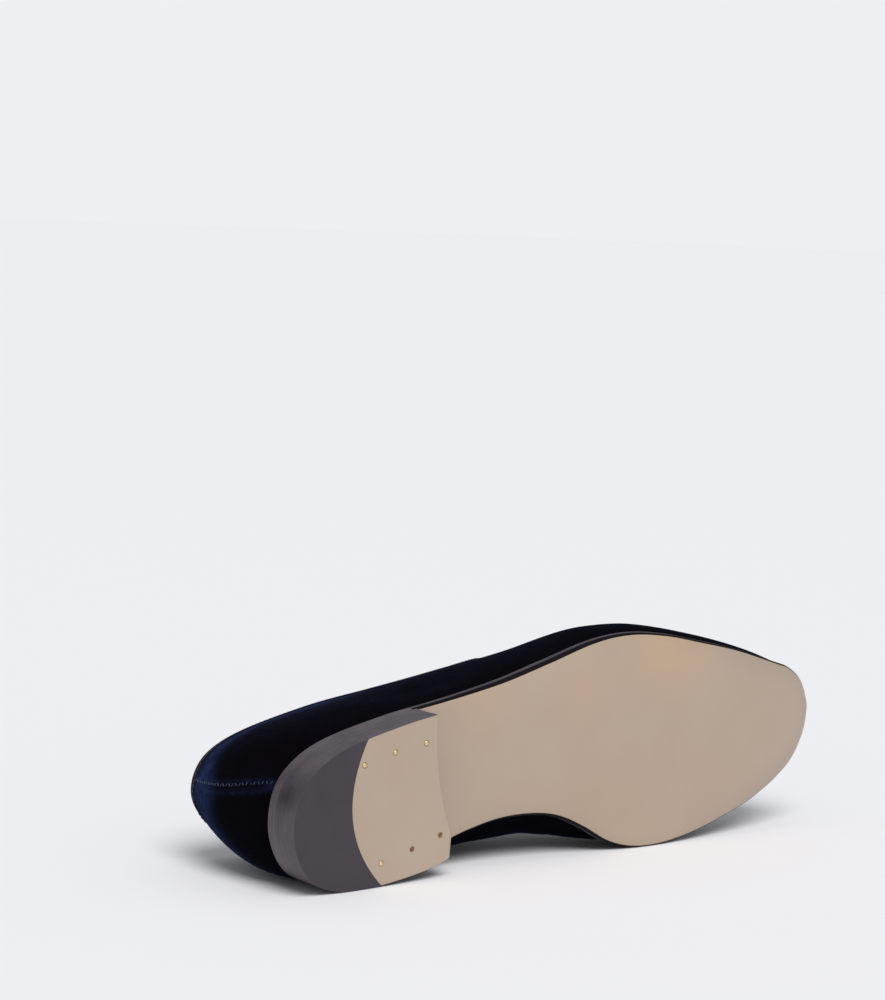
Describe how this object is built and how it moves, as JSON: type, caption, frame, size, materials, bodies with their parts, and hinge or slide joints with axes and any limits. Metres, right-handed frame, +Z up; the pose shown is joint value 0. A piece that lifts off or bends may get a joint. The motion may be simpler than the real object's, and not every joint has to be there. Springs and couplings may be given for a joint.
{
  "type": "velvet slipper loafer",
  "caption": "Right velvet slipper loafer with a grosgrain-bound topline, leather sole and stacked heel, lying empty on its inner side.",
  "frame": {"origin": "bottom centre of the bounding box, on the floor that the lying shoe touches", "axes": "+X along the shoe towards the toe, +Y the way the foot's instep faces (away from the sole), +Z up from the floor, towards the shoe's outer side"},
  "size_m": [0.2964, 0.0936, 0.0951],
  "materials": {
    "velvet": "dark navy cotton velvet with a short nap, black leather lining inside",
    "grosgrain": "black-purple ribbed ribbon, low sheen",
    "sole_leather": "smooth tan sole leather, polished, with a dark dressed edge",
    "heel_leather": "stacked leather lifts, stained dark brown and waxed",
    "heel_rubber": "dense dark rubber, satin",
    "brass": "small brass nails, worn flush",
    "lining_leather": "black lining leather, matt"
  },
  "bodies": {
    "root": {"outsole": "sole_leather", "insole": "lining_leather", "heel_lift_1": "heel_leather", "heel_lift_2": "heel_leather", "heel_lift_3": "heel_leather", "top_piece_leather": "sole_leather", "top_piece_rubber": "heel_rubber", "upper": "velvet", "topline_binding": "grosgrain", "heel_nail_1": "brass", "heel_nail_2": "brass", "heel_nail_3": "brass", "heel_nail_4": "brass", "heel_nail_5": "brass", "heel_nail_6": "brass"}
  },
  "joints": []
}
